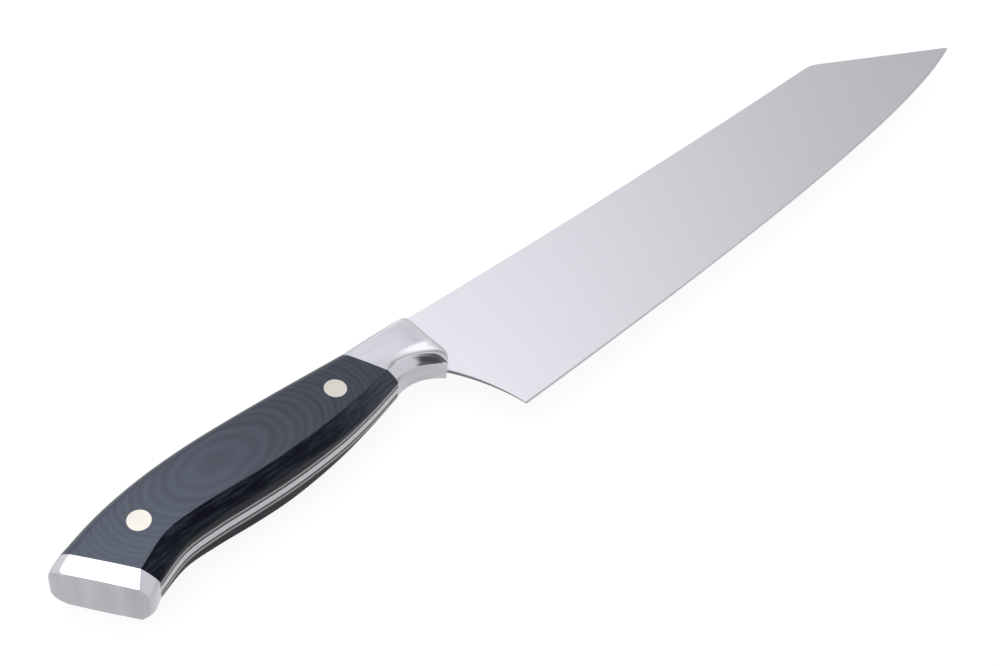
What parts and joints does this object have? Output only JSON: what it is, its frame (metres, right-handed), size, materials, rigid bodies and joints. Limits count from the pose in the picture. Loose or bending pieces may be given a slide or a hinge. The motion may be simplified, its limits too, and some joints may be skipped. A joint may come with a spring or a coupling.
{
  "type": "kiritsuke kitchen knife",
  "caption": "Long kitchen knife with a flat-ground, clipped-tip blade, full tang, polished bolster and slanted butt cap, layered dark scales and flush rivets.",
  "frame": {"origin": "under the middle of the knife's box, on the surface that it lies on with its left side down", "axes": "+X from butt to tip, -Y towards the cutting edge, +Y towards the spine, +Z square to the right side of the blade"},
  "size_m": [0.3828, 0.0484, 0.02],
  "materials": {
    "blade_steel": "fine satin, brushed from spine to edge",
    "polished_steel": "polished",
    "scale_laminate": "satin layered laminate with contour rings",
    "light_spacer": "satin",
    "dark_spacer": "satin",
    "nickel_silver": "ground flush and polished"
  },
  "bodies": {
    "root": {"blade": "blade_steel", "bolster_right": "polished_steel", "bolster_left": "polished_steel", "butt_cap": "polished_steel", "scale_right": "scale_laminate", "scale_left": "scale_laminate", "light_liner_right": "light_spacer", "light_liner_left": "light_spacer", "dark_liner_right": "dark_spacer", "dark_liner_left": "dark_spacer", "front_rivet_male": "nickel_silver", "front_rivet_female": "nickel_silver", "rear_rivet_male": "nickel_silver", "rear_rivet_female": "nickel_silver"}
  },
  "joints": []
}
